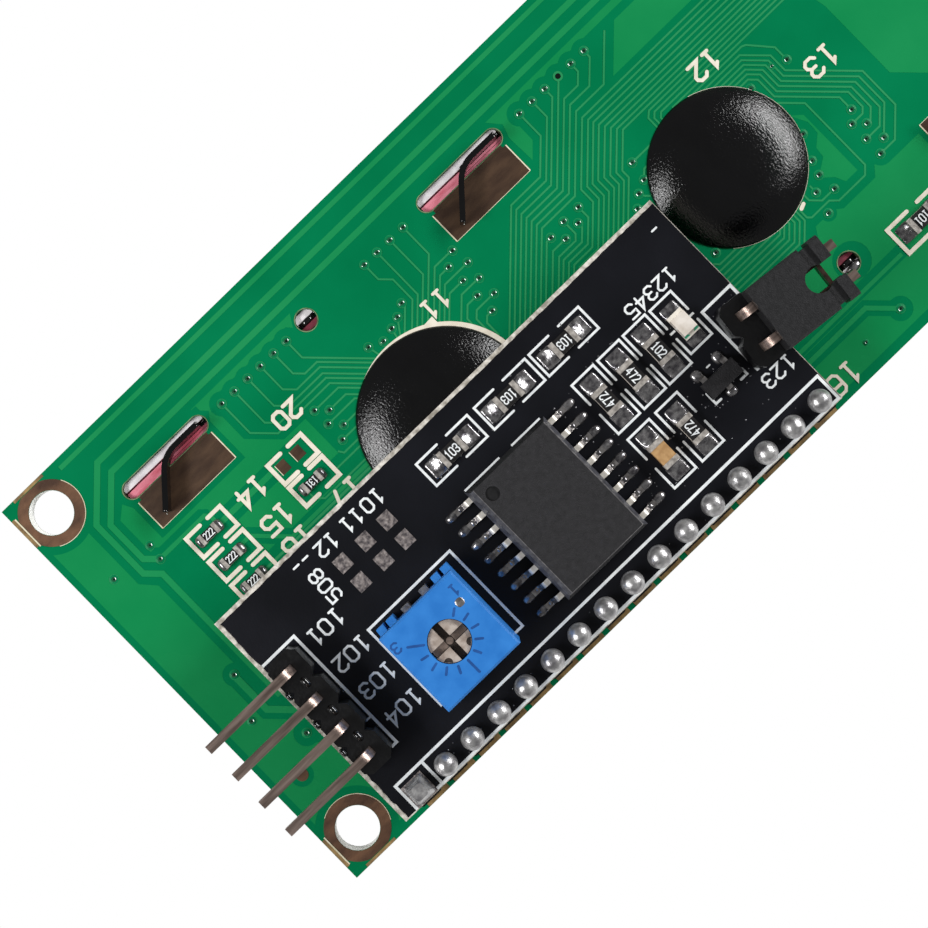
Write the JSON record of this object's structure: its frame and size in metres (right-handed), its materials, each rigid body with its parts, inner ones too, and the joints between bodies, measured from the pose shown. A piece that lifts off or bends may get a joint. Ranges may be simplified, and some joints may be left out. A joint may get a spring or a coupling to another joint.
{
  "type": "character display module",
  "caption": "Character display board seen from the back, with a clinched steel bezel, epoxy blobs and a serial adapter board on a pin header.",
  "frame": {"origin": "centre of the four corner mounting holes, in the display board's front face, where the bezel sits", "axes": "+Z out of the back of the display board, along the mounting holes; +X along the long side, away from the end with the four bent pins; +Y away from the 16-pin edge"},
  "size_m": [0.08, 0.036, 0.0176],
  "materials": {
    "lcd_board": "green solder mask over glass fibre board",
    "bezel": "satin black paint on sheet steel, bare at the cut tabs",
    "front_polarizer": "clear grey-green film",
    "front_glass": "polished",
    "rear_glass": "polished",
    "rear_polarizer": "satin film",
    "backlight_frame": "white moulding",
    "diffuser_film": "frosted film",
    "light_guide": "clear acrylic",
    "reflector_film": "white film",
    "backlight_board": "green board",
    "backlight_leds": "pale yellow lens in a white case",
    "backlight_leads": "tinned wire",
    "backlight_solder": "solder",
    "zebra_strip_upper": "pink silicone",
    "zebra_strip_lower": "pink silicone",
    "epoxy_blob_1": "glossy black epoxy with a dimpled skin",
    "epoxy_blob_2": "glossy black epoxy with a dimpled skin",
    "display_resistor_1": "black glaze with tinned ends",
    "display_resistor_2": "black glaze with tinned ends",
    "display_resistor_3": "black glaze with tinned ends",
    "display_resistor_4": "black glaze with tinned ends",
    "display_resistor_5": "black glaze with tinned ends",
    "header_strip": "black moulding",
    "header_pins": "tinned brass",
    "display_header_solder": "solder",
    "adapter_header_solder": "solder with grey flux haze",
    "adapter_board": "black solder mask over glass fibre board",
    "expander_chip": "grey-black moulding compound",
    "expander_leads": "tinned",
    "trimmer_housing": "blue moulding",
    "trimmer_rotor": "beige moulding",
    "trimmer_wiper": "spring metal",
    "trimmer_element": "ceramic",
    "trimmer_pins": "tinned",
    "power_led": "white base with tinned ends",
    "power_led_lens": "cloudy lens",
    "transistor_body": "grey-black moulding compound",
    "transistor_leads": "tinned",
    "adapter_resistor_1": "black glaze with tinned ends",
    "adapter_resistor_2": "black glaze with tinned ends",
    "adapter_resistor_3": "black glaze with tinned ends",
    "adapter_resistor_4": "black glaze with tinned ends",
    "adapter_resistor_5": "black glaze with tinned ends",
    "adapter_resistor_6": "black glaze with tinned ends",
    "adapter_resistor_7": "black glaze with tinned ends",
    "adapter_capacitor": "tan ceramic with tinned ends",
    "bus_header_strip": "black moulding",
    "bus_header_pins": "tinned brass",
    "jumper_header_strip": "black moulding",
    "jumper_header_pins": "tinned brass",
    "adapter_underside_solder": "solder",
    "jumper_cap": "black moulding",
    "jumper_contact": "gold-flashed spring metal"
  },
  "bodies": {
    "module": {"lcd_board": "lcd_board", "bezel": "bezel", "front_polarizer": "front_polarizer", "front_glass": "front_glass", "rear_glass": "rear_glass", "rear_polarizer": "rear_polarizer", "backlight_frame": "backlight_frame", "diffuser_film": "diffuser_film", "light_guide": "light_guide", "reflector_film": "reflector_film", "backlight_board": "backlight_board", "backlight_leds": "backlight_leds", "backlight_leads": "backlight_leads", "backlight_solder": "backlight_solder", "zebra_strip_upper": "zebra_strip_upper", "zebra_strip_lower": "zebra_strip_lower", "epoxy_blob_1": "epoxy_blob_1", "epoxy_blob_2": "epoxy_blob_2", "display_resistor_1": "display_resistor_1", "display_resistor_2": "display_resistor_2", "display_resistor_3": "display_resistor_3", "display_resistor_4": "display_resistor_4", "display_resistor_5": "display_resistor_5", "header_strip": "header_strip", "header_pins": "header_pins", "display_header_solder": "display_header_solder", "adapter_header_solder": "adapter_header_solder", "adapter_board": "adapter_board", "expander_chip": "expander_chip", "expander_leads": "expander_leads", "trimmer_housing": "trimmer_housing", "trimmer_element": "trimmer_element", "trimmer_pins": "trimmer_pins", "power_led": "power_led", "power_led_lens": "power_led_lens", "transistor_body": "transistor_body", "transistor_leads": "transistor_leads", "adapter_resistor_1": "adapter_resistor_1", "adapter_resistor_2": "adapter_resistor_2", "adapter_resistor_3": "adapter_resistor_3", "adapter_resistor_4": "adapter_resistor_4", "adapter_resistor_5": "adapter_resistor_5", "adapter_resistor_6": "adapter_resistor_6", "adapter_resistor_7": "adapter_resistor_7", "adapter_capacitor": "adapter_capacitor", "bus_header_strip": "bus_header_strip", "bus_header_pins": "bus_header_pins", "jumper_header_strip": "jumper_header_strip", "jumper_header_pins": "jumper_header_pins", "adapter_underside_solder": "adapter_underside_solder"},
    "trimmer_rotor": {"trimmer_rotor": "trimmer_rotor", "trimmer_wiper": "trimmer_wiper"},
    "jumper_cap": {"jumper_cap": "jumper_cap", "jumper_contact": "jumper_contact"}
  },
  "joints": [
    {"name": "trimmer_turn", "type": "hinge", "parent": "module", "child": "trimmer_rotor", "pos_m": [-0.023, -0.01012, 0.01], "axis": [0, 0, 1], "range_deg": [-130, 130]},
    {"name": "jumper_slide", "type": "slide", "parent": "module", "child": "jumper_cap", "axis": [0.9949, -0.1011, 0], "range_m": [0, 0.0065]}
  ]
}
